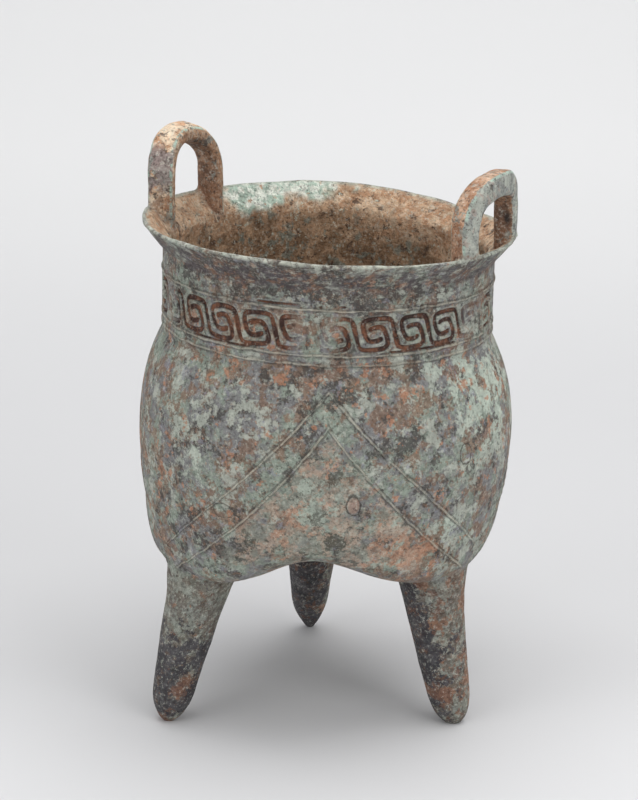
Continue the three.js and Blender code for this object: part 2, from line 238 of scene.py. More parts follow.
def hollow_rings():
    angle = columns(INNER)
    t = np.concatenate([np.linspace(0, 0.9, 58), [0.94, 0.98]])
    radius, height = belly_profile(angle, t)
    radius = [np.full_like(angle, NECK_RADIUS) for _ in range(14)] + list(radius)
    height = [np.full_like(angle, float(h)) for h in np.linspace(181, 151.5, 14)] + list(height)
    for i in range(8, 0, -1):
        r, h = lip_profile(i / 8)
        radius.insert(0, np.full_like(angle, r))
        height.insert(0, np.full_like(angle, h))
    radius, height = np.array(radius), np.array(height)
    along = np.stack([np.gradient(radius, axis=0), np.gradient(height, axis=0)])
    along /= np.hypot(*along)
    wall = np.full(len(radius), WALL)
    wall[:6] = np.linspace(LIP_EDGE + 0.15, WALL, 6)
    radius = radius + along[1] * wall[:, None]
    height = height - along[0] * wall[:, None]
    edge = ((1.0, -8), (1.15, -0.05), (1.6, 0.3), (1.95, 0.8))
    rings = [ring(RIM_RADIUS - inset, RIM_HEIGHT - drop, INNER) for inset, drop in edge]
    rings += [ring(r, h, INNER) for r, h in zip(radius, height) if h.max() < RIM_HEIGHT - 1.2]
    return rings


def direction(degrees):
    return np.array([math.cos(math.radians(degrees)), math.sin(math.radians(degrees)), 0])


def leg_rings(azimuth, foot_turn, foot_radius, top_radius, foot_half, tip, worn):
    tip_length, tip_power = tip
    outward = direction(azimuth)
    foot = direction(azimuth + foot_turn) * foot_radius + np.array([0, 0, -worn])
    top = outward * top_radius + np.array([0, 0, LEG_TOP_HEIGHT])
    length = np.linalg.norm(top - foot)
    axis = (top - foot) / length
    out = np.cross(direction(azimuth + 90), axis)
    out /= np.linalg.norm(out)
    side = np.cross(axis, out)
    tips = (np.linspace(0.03, 1, 16) ** 1.6) * tip_length / length
    shares = np.concatenate([tips, np.linspace(tips[-1], LEG_ROOT_HEIGHT / LEG_TOP_HEIGHT, 36)[1:]])
    turn = np.arange(54) * 2 * math.pi / 54
    rings = []
    for share in shares[::-1]:
        left = 1 - min(share * length / tip_length, 1)
        half = foot_half + (LEG_TOP_HALF_WIDTH - foot_half) * min(share, 1) ** 1.15
        swell = 0.5 * LEG_FLARE * float(smoothstep(share, 0.8, 1.12))
        radius = half * (1 - left * left) ** tip_power + swell
        middle = foot + axis * share * length + outward * swell
        round_it = np.cos(turn)[:, None] * out[None] + np.sin(turn)[:, None] * side[None]
        rings.append(middle + radius * round_it)
    return rings


def bulged(value, power):
    return np.sign(value) * np.abs(value) ** (2 / power)


def handle_rings(azimuth, width, height, lean, depth, arch_width, squareness, inner_share):
    axis_radius = HANDLE_OUTER - 0.5 * depth
    half_span = 0.5 * (width - LIMB_WIDTH)
    spring = RIM_HEIGHT + SPRING_SHARE * height
    rise = RIM_HEIGHT + height - 0.5 * arch_width - spring
    limb = np.linspace(RIM_HEIGHT - ROOT_DROP, spring, 13)[:-1]
    turn = np.linspace(0, math.pi, 41)
    up = bulged(np.sin(turn), squareness)
    across = half_span * bulged(np.cos(turn), squareness) + lean * up
    path = [(half_span, h) for h in limb]
    path += list(zip(across, spring + rise * up))
    path += [(-half_span, h) for h in limb[::-1]]
    path = np.array(path)
    wide = np.full(len(path), float(LIMB_WIDTH))
    wide[12:-12] = LIMB_WIDTH + (arch_width - LIMB_WIDTH) * up
    along = np.gradient(path, axis=0)
    along /= np.linalg.norm(along, axis=1)[:, None]
    around = (np.arange(36) + 0.5) * 2 * math.pi / 36
    outwards = bulged(np.cos(around), SECTION_SQUARENESS)
    narrowed = inner_share + (1 - inner_share) * (0.5 + 0.5 * outwards)
    rings = []
    for (x, z), (ax, az), w in zip(path, along, wide):
        radius = axis_radius + 0.5 * depth * outwards
        sideways = 0.5 * w * narrowed * bulged(np.sin(around), SECTION_SQUARENESS)
        angle = azimuth + (x + sideways * az) / axis_radius
        rings.append(np.stack([radius * np.cos(angle), radius * np.sin(angle), z - sideways * ax], 1))
    return rings


# Meshes
def skin(rings):
    """Vertices and faces of a closed skin through rings of points, each ring as long as the one
    before, twice as long or half as long."""
    counts = [len(r) for r in rings]
    starts = np.concatenate([[0], np.cumsum(counts)])
    points = np.vstack(rings + [rings[0].mean(0)[None], rings[-1].mean(0)[None]])
    faces = []
    for i in range(len(rings) - 1):
        n, m, a, c = counts[i], counts[i + 1], starts[i], starts[i + 1]
        j = np.arange(min(n, m))
        k = (j + 1) % min(n, m)
        if n == m:
            faces += np.stack([a + j, c + j, c + k, a + k], 1).tolist()
        else:
            few, many = (a, c) if m > n else (c, a)
            middle = many + 2 * j + 1
            after = many + (2 * j + 2) % max(n, m)
            fan = [(few + j, middle - 1, middle), (few + j, middle, few + k), (few + k, middle, after)]
            for p, q, r in fan:
                faces += np.stack([p, q, r] if m > n else [p, r, q], 1).tolist()
    first, last = len(points) - 2, len(points) - 1
    j = np.arange(counts[0])
    faces += np.stack([np.full_like(j, first), j, (j + 1) % counts[0]], 1).tolist()
    j = np.arange(counts[-1])
    end = starts[-2]
    faces += np.stack([np.full_like(j, last), end + (j + 1) % counts[-1], end + j], 1).tolist()
    tri = np.array([f[:3] for f in faces] + [[f[0], f[2], f[3]] for f in faces if len(f) == 4])
    a, b, c = points[tri[:, 0]], points[tri[:, 1]], points[tri[:, 2]]
    if (a * np.cross(b, c)).sum() < 0:
        faces = [f[::-1] for f in faces]
    return points, faces


def scratch_object(name, points, faces):
    mesh = bpy.data.meshes.new(name)
    mesh.from_pydata(points.tolist(), [], faces)
    made = bpy.data.objects.new(name, mesh)
    bpy.context.scene.collection.objects.link(made)
    return made


def combined(base, other, operation):
    """A new object: base joined with other, or cut by it. Both are used up."""
    cut = base.modifiers.new("cut", "BOOLEAN")
    cut.operation = operation
    cut.solver = "MANIFOLD"
    cut.object = other
    graph = bpy.context.evaluated_depsgraph_get()
    mesh = bpy.data.meshes.new_from_object(base.evaluated_get(graph))
    made = bpy.data.objects.new(base.name, mesh)
    bpy.context.scene.collection.objects.link(made)
    for used in (base, other):
        bpy.data.objects.remove(used)
    return made


def box_object(low, high):
    x0, y0, z0 = low
    x1, y1, z1 = high
    points = np.array([(x, y, z) for z in (z0, z1) for y in (y0, y1) for x in (x0, x1)], float)
    faces = [[0, 2, 3, 1], [4, 5, 7, 6], [0, 1, 5, 4], [2, 6, 7, 3], [0, 4, 6, 2], [1, 3, 7, 5]]
    return scratch_object("box", points, faces)


def read(items, key, width, kind=float):
    values = np.empty(len(items) * width, kind)
    items.foreach_get(key, values)
    return values.reshape(-1, width)


def nearest_distance(points, surfaces, where, reach=6.0):
    """Distance up to reach from the points picked by where to surfaces given as (points, faces)."""
    found = np.full(len(points), reach)
    for vertices, faces in surfaces:
        tree = BVHTree.FromPolygons([Vector(p) for p in vertices], faces)
        for i in where:
            hit = tree.find_nearest(Vector(points[i]), reach)
            if hit[3] is not None:
                found[i] = min(found[i], hit[3])
    return found


def cast_object():
    body = skin(filled_rings())
    legs = [skin(leg_rings(*leg)) for leg in LEGS]
    handles = [skin(handle_rings(*handle)) for handle in HANDLES]
    whole = scratch_object("bronze_vessel", *body)
    for leg in legs:
        whole = combined(whole, scratch_object("leg", *leg), "UNION")
    whole = combined(whole, scratch_object("hollow", *skin(hollow_rings())), "DIFFERENCE")
    for handle in handles:
        below = combined(
            box_object((-200, -200, 100), (200, 200, RIM_HEIGHT - 0.4)),
            scratch_object("filled", *body),
            "DIFFERENCE",
        )
        limb = combined(scratch_object("handle", *handle), below, "DIFFERENCE")
        whole = combined(whole, limb, "UNION")
    whole = combined(whole, box_object((-200, -200, -40), (200, 200, 0)), "DIFFERENCE")
    whole.name = "bronze_vessel"
    return whole, body, legs, handles


def relaxed(points, edges, weight, rounds):
    """Points pulled towards their neighbours' middle by their weight, round after round."""
    moving = np.flatnonzero(weight > 1e-3)
    touched = np.zeros(len(points), bool)
    touched[moving] = True
    used = edges[touched[edges].any(1)]
    count = np.zeros(len(points))
    np.add.at(count, used[:, 0], 1)
    np.add.at(count, used[:, 1], 1)
    points = points.copy()
    for _ in range(rounds):
        total = np.zeros_like(points)
        np.add.at(total, used[:, 0], points[used[:, 1]])
        np.add.at(total, used[:, 1], points[used[:, 0]])
        middle = total[moving] / count[moving, None]
        points[moving] += 0.5 * weight[moving, None] * (middle - points[moving])
    return points


def vertex_normals(points, mesh):
    mesh.calc_loop_triangles()
    tri = read(mesh.loop_triangles, "vertices", 3, np.int64)
    a, b, c = points[tri[:, 0]], points[tri[:, 1]], points[tri[:, 2]]
    face = np.cross(b - a, c - a)
    normal = np.zeros_like(points)
    for corner in range(3):
        np.add.at(normal, tri[:, corner], face)
    return normal / np.maximum(np.linalg.norm(normal, axis=1), 1e-12)[:, None]


# The band and the raised lines
def rounded_path(points, steps=3):
    """A Catmull-Rom curve through points, as short segments."""
    points = np.array(points)
    padded = np.vstack([2 * points[0] - points[1], points, 2 * points[-1] - points[-2]])
    out = []
    for i in range(1, len(padded) - 2):
        p0, p1, p2, p3 = padded[i - 1 : i + 3]
        for w in np.arange(steps) / steps:
            out.append(
                0.5 * (2 * p1 + (p2 - p0) * w + (2 * p0 - 5 * p1 + 4 * p2 - p3) * w**2)
                + 0.5 * (3 * p1 - p0 - 3 * p2 + p3) * w**3
            )
    return np.array(out + [points[-1]])


def groove_distance(angle, height, upright):
    """Distance in millimetres to the edge of the nearest groove, below 0 inside one."""
    half = np.array(STROKE_HALF)
    path = rounded_path(np.vstack([-half[:0:-1], half]))
    pitch = 2 * math.pi * NECK_RADIUS / STROKES
    along = (angle - BAND_START) * NECK_RADIUS + 0.28 * noise(upright, 7, 5)
    up = height - BAND_MIDDLE + 0.26 * noise(upright, 8, 6)
    number = np.round(along / pitch)
    nearest = np.full(len(angle), 30.0)
    for shift in (-1, 0, 1):
        u = along - (number + shift) * pitch
        for a, b in zip(path[:-1], path[1:]):
            run = b - a
            share = np.clip(((u - a[0]) * run[0] + (up - a[1]) * run[1]) / (run @ run), 0, 1)
            nearest = np.minimum(nearest, np.hypot(u - a[0] - share * run[0], up - a[1] - share * run[1]))
    width = 0.5 * GROOVE_WIDTH * (1 + 0.16 * noise(upright, 5, 7))
    return nearest - width


def away(angle, middle):
    """Degrees from middle, also in degrees, between -180 and 180."""
    return (np.degrees(angle) - middle + 180) % 360 - 180


def line_distance(angle, height):
    """Distance in millimetres to the nearest of the zigzag lines on the belly."""
    nearest = np.full(len(angle), 30.0)
    for valley in (60, 180, 300):
        side = np.abs(away(angle, valley + ZIGZAG_TURN))
        for apex, slope, curve, reach in ZIGZAGS:
            line = apex + slope * side + curve * side**2
            steep = (slope + 2 * curve * side) / (70 * math.pi / 180)
            distance = np.abs(height - line) / np.sqrt(1 + steep**2)
            distance = distance + 6 * np.clip(side - reach, 0, 4)
            nearest = np.minimum(nearest, distance)
    return nearest


def polar(points):
    """Azimuth in radians, radius and height."""
    return np.arctan2(points[:, 1], points[:, 0]), np.hypot(points[:, 0], points[:, 1]), points[:, 2]


def tones(points, *spots):
    """Sum of soft round regions: azimuth, height, half width in degrees, half height and strength."""
    angle, _, height = polar(points)
    total = np.zeros(len(points))
    for middle, level, wide, tall, strength in spots:
        total += strength * np.exp(-((away(angle, middle) / wide) ** 2) - ((height - level) / tall) ** 2)
    return total


def askew(points):
    share = np.clip(points[:, 2] / RIM_HEIGHT, 0, 1)
    towards = np.array([math.cos(SHIFT_TOWARDS), math.sin(SHIFT_TOWARDS), 0])
    dip = points @ towards * math.tan(RIM_DIP) * share**2
    shift = BODY_SHIFT * smoothstep(points[:, 2], 0, 110) + RIM_SHIFT * share**3
    on_lip = smoothstep(points[:, 2], RIM_HEIGHT - 1.5 * LIP_HEIGHT, RIM_HEIGHT)
    angle = np.arctan2(points[:, 1], points[:, 0])
    sag = sum(on_lip * drop * np.exp(-((away(angle, mid) / half) ** 2)) for mid, half, drop in LIP_SAGS)
    moved = points + towards[None] * shift[:, None]
    moved[:, 2] -= dip + sag
    return moved


def add_attribute(mesh, name, values):
    kind = "FLOAT" if values.ndim == 1 else "FLOAT_VECTOR"
    made = mesh.attributes.new(name, kind, "POINT")
    made.data.foreach_set("value" if values.ndim == 1 else "vector", values.astype(np.float32).ravel())


def rubbed(angle, points):
    """How far the band is worn away, from 0 to 1."""
    wear = np.zeros(len(points))
    for middle, wide in WORN:
        wear = np.maximum(wear, 1 - smoothstep(np.abs(away(angle, middle)), wide - 3, wide + 1.5))
    wear = np.clip(wear * (0.9 + 0.35 * noise(points, 3.5, 9)), 0, 1)
    front = smoothstep(np.abs(away(angle, FRONT)), 60, 48)
    return np.maximum(wear, 0.75 * (1 - front) * smoothstep(noise(points, 11, 12), 0.5, 0.8))


def regions(points, body, legs, handles):
    """Which points lie inside, on a handle and on a leg, and how far each is rounded into a fillet."""
    low = np.flatnonzero(points[:, 2] < 92)
    high = np.flatnonzero(points[:, 2] > 176)
    to_body = nearest_distance(points, [body], range(len(points)))
    to_leg = nearest_distance(points, legs, low)
    to_handle = nearest_distance(points, handles, high)
    rest = to_body > 0.02
    flat_foot = points[:, 2] < FOOT
    on_leg = rest & (to_leg < 0.05) | flat_foot
    on_handle = rest & (to_handle < 0.05)
    inside = rest & ~on_leg & ~on_handle & (points[:, 2] > 40)

    # Cast fillets where the legs leave the belly and where the handles stand on the lip
    fillet = np.zeros(len(points))
    fillet[low] = 1 - smoothstep(np.maximum(to_body, to_leg)[low], 0.8, 5.0)
    near_lip = np.where(inside, 0.0, to_body)
    fillet[high] = 1 - smoothstep(np.maximum(near_lip, to_handle)[high], 0.3, 2.4)
    fillet[flat_foot] = 0
    return inside, on_handle, on_leg, fillet


def band_relief(points, on_neck):
    """Distance to the nearest groove, how far the band is worn, and how far both move the skin."""
    angle, _, height = polar(points)
    groove = np.full(len(points), 3.0)
    groove[on_neck] = groove_distance(angle[on_neck], height[on_neck], points[on_neck])
    wear = rubbed(angle, points)
    for middle, wide, level in DASHES:
        gap = np.abs(height - level - 0.25 * noise(points, 9, 14)) - 0.42
        gap = gap + 0.6 * np.clip(np.abs(away(angle, middle)) - wide, 0, 9)
        groove[on_neck] = np.minimum(groove[on_neck], gap[on_neck])
    cut = smoothstep(-groove, -0.3, 0.45) * (1 - 0.85 * wear)
    burr = np.exp(-(((groove - 0.55) / 0.3) ** 2)) * (1 - wear)
    return groove, wear, on_neck * (0.16 * burr - GROOVE_DEPTH * cut)


def line_relief(points, on_neck, on_belly):
    """How far the neck's rings, the mould's seams and the belly's zigzag lines raise the skin."""
    angle, _, height = polar(points)
    seam = np.full(len(points), 30.0)
    for middle in SEAMS:
        gap = away(angle, middle) * math.pi / 180 * NECK_RADIUS + 0.5 * noise(points, 12, 21)
        seam = np.minimum(seam, np.abs(gap))
    ring_gap = np.full(len(points), 30.0)
    for level in NECK_LINES:
        gap = np.abs(height - level - 0.3 * noise(points, 14, 20))
        ring_gap = np.minimum(ring_gap, gap + 0.25 * smoothstep(noise(points, 10, 22), 0.1, 0.6))
    on_rings = 0.55 * np.exp(-((ring_gap / 0.6) ** 2)) + 0.3 * np.exp(-((seam / 0.6) ** 2))
    on_lines = 0.42 * np.exp(-((line_distance(angle, height) / 1.3) ** 2))
    return on_neck * on_rings + on_belly * on_lines


def crust_cover(points, inside):
    """Where the crust lies on the inside of the lip at the back."""
    crust = tones(points, (145, 190, 15, 9, 1.1), (120, 190, 11, 6, 0.62))
    return smoothstep(crust + 0.55 * fractal(points, 7, 5, 31), 0.4, 0.56) * inside


def leg_tones(points, on_leg):
    """Which points each leg has, and how dark and how rusty the leg is there, with painted shade down the
    right leg's left side.
    """
    angle, _, height = polar(points)
    legs_at = [on_leg & (np.abs(away(angle, leg[0])) < 60) for leg in LEGS]
    # Across each leg, from -1 at its left to 1 at its right as the front sees them
    across = np.zeros(len(points))
    rightwards = np.array([math.cos(VIEW_AZIMUTH), math.sin(VIEW_AZIMUTH)])
    share = (height / LEG_TOP_HEIGHT)[:, None]
    for mine, (azimuth, foot_turn, foot_radius, top_radius, foot_half, _, _) in zip(legs_at, LEGS):
        foot = direction(azimuth + foot_turn)[None, :2] * foot_radius
        top = direction(azimuth)[None, :2] * top_radius
        offset = (points[:, :2] - foot - (top - foot) * share) @ rightwards
        half = foot_half + (LEG_TOP_HALF_WIDTH - foot_half) * np.clip(share[:, 0], 0, 1)
        across[mine] = (offset / half)[mine]
    spot = tones(points, (353, 14.5, 1.5, 2.2, 1.5))
    # Painted shade: the right leg is darkened down its left side, where it turns from the light; the
    # darkening lower down is its own patina.
    right_dark_and_shade = 0.8 * smoothstep(-across, -0.25, 0.6) + 0.45 * smoothstep(height, 60, 30)
    right_dark_and_shade += 0.12 * np.sin(height / 5) - 0.35 * smoothstep(height, 20, 6) - spot
    right_rust = 0.5 + 0.4 * smoothstep(across, 0.78, 0.95) * smoothstep(height, 8, 20) + spot
    back_dark = 1.15 - 0.6 * smoothstep(across, 0.1, 0.8)
    back_rust = np.full(len(points), 0.45)
    bare = np.exp(-(((across - 0.42) / 0.5) ** 2) - ((height - 15 - 5 * across) / 7) ** 2)
    left_dark = 0.1 + 1.15 * smoothstep(height, 54, 20) - 0.6 * smoothstep(height, 10, 3) - 1.1 * bare
    left_rust = 0.75 * smoothstep(height, 12, 3) + 1.6 * bare
    return legs_at, [right_dark_and_shade, back_dark, left_dark], [right_rust, back_rust, left_rust]


def patina_tones(points, inside, on_leg):
    """Where the pale green, the rust and the dark tones of the patina gather. Inside, the rust tone holds
    where the upper wall is painted lighter as painted light, and on the right leg the dark holds painted
    shade.
    """
    mint = tones(points, *MINT) + 0.3 * fractal(points, 30, 2, 51)
    rust = tones(points, *RUST) + 0.3 * fractal(points, 26, 2, 53)
    dark = tones(points, *DARK) + 0.3 * fractal(points, 28, 2, 55)
    legs_at, leg_dark, leg_rust = leg_tones(points, on_leg)
    dark = np.select(legs_at, leg_dark, dark)
    rust = np.select(legs_at, leg_rust, rust)
    # Painted light inside: blots where the upper inner wall is painted lighter, over its orange crust.
    orange_and_painted_light = tones(points, (72, 181, 30, 15, 1.3), (172, 182, 16, 12, 0.9))
    rust = np.where(inside, orange_and_painted_light + 0.3 * fractal(points, 20, 2, 57), rust)
    return np.stack([mint, rust, dark], 1)


def panel_cover(points, on_belly):
    """The plain tan panel in front, below the lower zigzag line."""
    angle, _, height = polar(points)
    apex, slope, curve, _ = ZIGZAGS[1]
    aside = np.abs(away(angle, FRONT + ZIGZAG_TURN))
    above = height - (apex + slope * aside + curve * aside**2)
    panel = smoothstep(-above, 0, 3) * smoothstep(36 - aside, 0, 8)
    return panel * (on_belly | (height < 60))


def handle_faces(points, normal, on_handle):
    """How far a handle's skin faces out along the radius and out of the loop, and which handle it is."""
    angle, _, height = polar(points)
    face = np.zeros((len(points), 3))
    sideways = np.stack([-np.sin(angle), np.cos(angle)], 1)
    outward = normal[:, 0] * np.cos(angle) + normal[:, 1] * np.sin(angle)
    for index, (azimuth, _, tall, *_) in enumerate(HANDLES):
        mine = on_handle & (np.abs(away(angle, math.degrees(azimuth))) < 60)
        across = away(angle, math.degrees(azimuth)) * math.pi / 180 * HANDLE_RADIUS
        above = np.maximum(height - RIM_HEIGHT - SPRING_SHARE * tall, 0)
        length = np.maximum(np.hypot(across, above), 1)
        outer = ((normal[:, :2] * sideways).sum(1) * across + normal[:, 2] * above) / length
        face[mine] = np.stack([outward, outer, np.full(len(points), float(index == 0))], 1)[mine]
    return face


def vessel_object():
    made, body, legs, handles = cast_object()
    mesh = made.data
    points = read(mesh.vertices, "co", 3)
    edges = read(mesh.edges, "vertices", 2, np.int64)
    flat_foot = points[:, 2] < FOOT
    inside, on_handle, on_leg, fillet = regions(points, body, legs, handles)
    points = relaxed(points, edges, fillet, 16)
    masks = np.stack([inside, on_handle, on_leg], 1) * 1.0
    masks = relaxed(masks, edges, np.maximum(fillet, 0.3), 4)
    normal = vertex_normals(points, mesh)
    _, radius, height = polar(points)
    on_neck = ~inside & ~on_handle & (height > 148) & (height < 181) & (radius > NECK_RADIUS - 1)
    on_belly = ~inside & ~on_leg & (height < 151) & (height > 55)

    # The band, the raised lines, the crust and the uneven corroded skin
    groove, wear, shift = band_relief(points, on_neck)
    crust = crust_cover(points, inside)
    shift += line_relief(points, on_neck, on_belly) + 0.7 * crust
    rough = np.select([on_neck, on_handle, on_leg, inside], [0.06, 0.24, 0.2, 0.42], 0.12)
    shift += rough * fractal(points, 4.5, 3, 33)
    shift += np.where(on_neck, 0.12, 0.38) * fractal(points, 21, 2, 35)
    lip_edge = smoothstep(height, RIM_HEIGHT - 6, RIM_HEIGHT) * ~on_handle
    shift += lip_edge * 0.25 * fractal(points, 13, 2, 37)
    bent = points + normal * shift[:, None]
    bent[:, 2] += lip_edge * 0.5 * fractal(points * [1, 1, 0.2], 26, 2, 39)
    bent[flat_foot] = points[flat_foot]
    bent[:, 2] = np.where(flat_foot, 0, np.maximum(bent[:, 2], 0.02))
    stands = askew(bent)
    stands[:, :2] -= MIDDLE
    stands = np.clip(stands, BOX_LOW + [0.01, 0.01, 0], BOX_HIGH - 0.01)
    mesh.vertices.foreach_set("co", (stands / 1000).ravel())
    mesh.update()

    add_attribute(mesh, "upright", points)
    add_attribute(mesh, "tones", patina_tones(points, inside, on_leg))
    add_attribute(mesh, "parts", masks)
    add_attribute(mesh, "relief", np.stack([groove, wear, crust], 1))
    add_attribute(mesh, "panel", panel_cover(points, on_belly))
    add_attribute(mesh, "loops", handle_faces(points, normal, on_handle))
    mesh.polygons.foreach_set("use_smooth", np.ones(len(mesh.polygons), bool))
    return made


vessel = vessel_object()


# Materials
def linear(r, g, b):
    def one(c):
        c /= 255
        return c / 12.92 if c <= 0.04045 else ((c + 0.055) / 1.055) ** 2.4

    return (one(r), one(g), one(b), 1.0)


class Tree:
    """Short names for the nodes that the materials are made of."""

    def __init__(self, name):
        self.material = bpy.data.materials.new(name)
        self.material.use_nodes = True
        self.nodes = self.material.node_tree.nodes
        self.links = self.material.node_tree.links
        self.shader = next(n for n in self.nodes if n.type == "BSDF_PRINCIPLED")

    def put(self, value, socket):
        if isinstance(value, bpy.types.NodeSocket):
            self.links.new(value, socket)
        else:
            socket.default_value = value

    def node(self, kind, output, inputs, **settings):
        """One output of a new node, with its inputs by name or number."""
        made = self.nodes.new("ShaderNode" + kind)
        for name, value in settings.items():
            setattr(made, name, value)
        for key, value in inputs.items():
            self.put(value, made.inputs[key])
        return made.outputs[output]

    def math(self, operation, a, b=0.0):
        return self.node("Math", 0, {0: a, 1: b}, operation=operation)

    def add(self, *values):
        return reduce(lambda a, b: self.math("ADD", a, b), values)

    def times(self, *values):
        return reduce(lambda a, b: self.math("MULTIPLY", a, b), values)

    def less(self, a, b):
        return self.math("SUBTRACT", a, b)

    def size_of(self, value):
        return self.math("ABSOLUTE", value)

    def most(self, a, b):
        return self.math("MAXIMUM", a, b)

    def step(self, value, low, high):
        ends = {"Value": value, "From Min": low, "From Max": high}
        return self.node("MapRange", 0, ends, interpolation_type="SMOOTHSTEP")

    def mix(self, share, a, b):
        return self.node("Mix", 2, {0: share, 6: a, 7: b}, data_type="RGBA")

    def blend(self, share, first, second):
        """Between two tones, each r, g, b in 0..255."""
        return self.mix(share, linear(*first), linear(*second))

    def over(self, below, share, strength, tone):
        """A layer of one tone over what is below."""
        return self.mix(self.times(share, strength), below, linear(*tone))

    def layers(self, below, *layers):
        """Layers over each other, each given by its share, strength and tone."""
        return reduce(lambda under, layer: self.over(under, *layer), layers, below)

    def attribute(self, name, output="Vector"):
        return self.node("Attribute", output, {}, attribute_name=name)

    def vector(self, operation, a, b, output="Vector"):
        return self.node("VectorMath", output, {0: a, 1: b}, operation=operation)

    def parts(self, vector):
        node = self.nodes.new("ShaderNodeSeparateXYZ")
        self.links.new(vector, node.inputs[0])
        return node.outputs

    def noise(self, size, detail, roughness, seed=0.0, vector=None):
        """Noise in 0..1 at a vector, or at the point of the skin, with lumps about size wide."""
        start = self.at if vector is None else vector
        moved = self.vector("ADD", start, (37.0 * seed, 11.0 * seed, 5.0 * seed))
        inputs = {"Vector": moved, "Scale": 1.0 / size, "Detail": detail, "Roughness": roughness}
        return self.node("TexNoise", "Fac", inputs)

    def patch(self, size, low, high, seed, bias=0.0, detail=9.0, roughness=0.7):
        """Ragged patches: 0 where noise with a bias is under low, 1 where it is over high."""
        return self.step(self.add(self.noise(size, detail, roughness, seed), bias), low, high)

    def ragged(self, size, detail, roughness, seed, reach):
        """Noise from -reach / 2 to reach / 2, to shift an edge by."""
        return self.times(self.less(self.noise(size, detail, roughness, seed), 0.5), reach)

    def distance(self, point, stretch):
        """Distance of the skin to a point, with each axis scaled by stretch."""
        stretched = self.vector("MULTIPLY", self.at, stretch)
        there = [a * b for a, b in zip(point, stretch)]
        return self.vector("DISTANCE", stretched, there, "Value")


def surface_point(azimuth, height):
    """A point on the upright belly's outer face."""
    angle = np.array([math.radians(azimuth)])
    t = np.linspace(0, 1, 400)
    radius, level = belly_profile(angle, t)
    i = int(np.argmin(np.abs(level[:300, 0] - height)))
    return (radius[i, 0] * math.cos(angle[0]), radius[i, 0] * math.sin(angle[0]), level[i, 0])


def outer_skin(t):
    """A grey-green ground, then layers of brown, charcoal, pale green and orange."""
    ground = t.blend(t.patch(13, 0.46, 0.54, 1), (124, 124, 124), (136, 146, 134))
    brown = t.patch(9, 0.515, 0.555, 2, t.times(t.rust, 0.075))
    colour = t.over(ground, brown, 0.8, (128, 102, 84))
    colour = t.over(colour, t.charcoal, 0.85, (72, 69, 66))
    minty = t.blend(t.step(t.mint, 0.3, 1.1), (170, 174, 163), (186, 198, 184))
    colour = t.mix(t.times(t.pale, 0.85), colour, minty)
    colour = t.over(colour, t.patch(6, 0.59, 0.62, 33), 0.6, (140, 140, 150))
    orange = t.patch(5.5, 0.6, 0.63, 5, t.times(t.rust, 0.065))
    eased = t.less(0.85, t.add(t.times(t.panel, 0.35), t.times(t.step(t.level, 160, 172), 0.3)))
    colour = t.over(colour, orange, eased, (172, 125, 98))
    smooth = t.blend(t.patch(9, 0.46, 0.54, 6), (136, 138, 127), (172, 152, 135))
    smooth = t.mix(t.patch(9, 0.57, 0.62, 44, t.times(t.rust, 0.12)), smooth, linear(182, 142, 118))
    smooth = t.mix(t.patch(8, 0.57, 0.61, 45, t.times(t.mint, 0.1)), smooth, linear(160, 170, 157))
    smooth = t.over(smooth, t.patch(6, 0.58, 0.62, 46, t.times(t.dark, 0.13)), 0.9, (76, 78, 68))
    colour = t.mix(t.times(t.panel, t.patch(11, 0.43, 0.5, 7), 0.8), colour, smooth)
    lump = t.times(t.less(1.0, t.times(t.panel, 0.25)), t.outside)
    colour = t.over(colour, t.times(t.fine_pale, lump), 0.55, (186, 190, 177))
    fine_rust = t.patch(2.8, 0.56, 0.63, 32, detail=6, roughness=0.75)
    return t.over(colour, t.times(fine_rust, lump), 0.45, (136, 100, 76))


def leg_skin(t, colour):
    """Dark blue-black leg ends with rust and pale specks, grey-green and brown above."""
    upper = t.blend(t.patch(5, 0.46, 0.54, 47), (112, 106, 96), (146, 150, 140))
    upper = t.over(upper, t.patch(4, 0.54, 0.58, 48), 0.75, (92, 74, 64))
    colour = t.mix(t.times(t.leg, 0.8), colour, upper)
    worn = t.patch(6, 0.6, 0.63, 9, t.times(t.rust, 0.13))
    colour = t.over(colour, t.times(t.leg, worn), 0.85, (146, 108, 86))
    low = t.blend(t.patch(6, 0.42, 0.58, 8), (52, 51, 58), (82, 80, 84))
    low = t.over(low, t.patch(3, 0.57, 0.62, 10), 0.75, (104, 82, 68))
    mottle = t.add(t.times(t.noise(7, 8, 0.7, 11), 0.6), t.times(t.noise(2, 6, 0.75, 49), 0.4))
    # On the right leg this dark also follows the painted shade down its left side.
    down = t.step(t.add(mottle, t.times(t.dark, 0.2)), 0.615, 0.655)
    colour = t.mix(t.times(t.leg, down, 0.93), colour, low)
    again = t.patch(5, 0.63, 0.66, 50, t.times(t.rust, 0.13))
    colour = t.over(colour, t.times(t.leg, again), 0.8, (116, 84, 70))
    dust = t.times(t.patch(1.3, 0.61, 0.69, 51, detail=4), t.patch(7, 0.42, 0.54, 63))
    return t.over(colour, t.times(t.leg, dust), 0.5, (176, 180, 170))


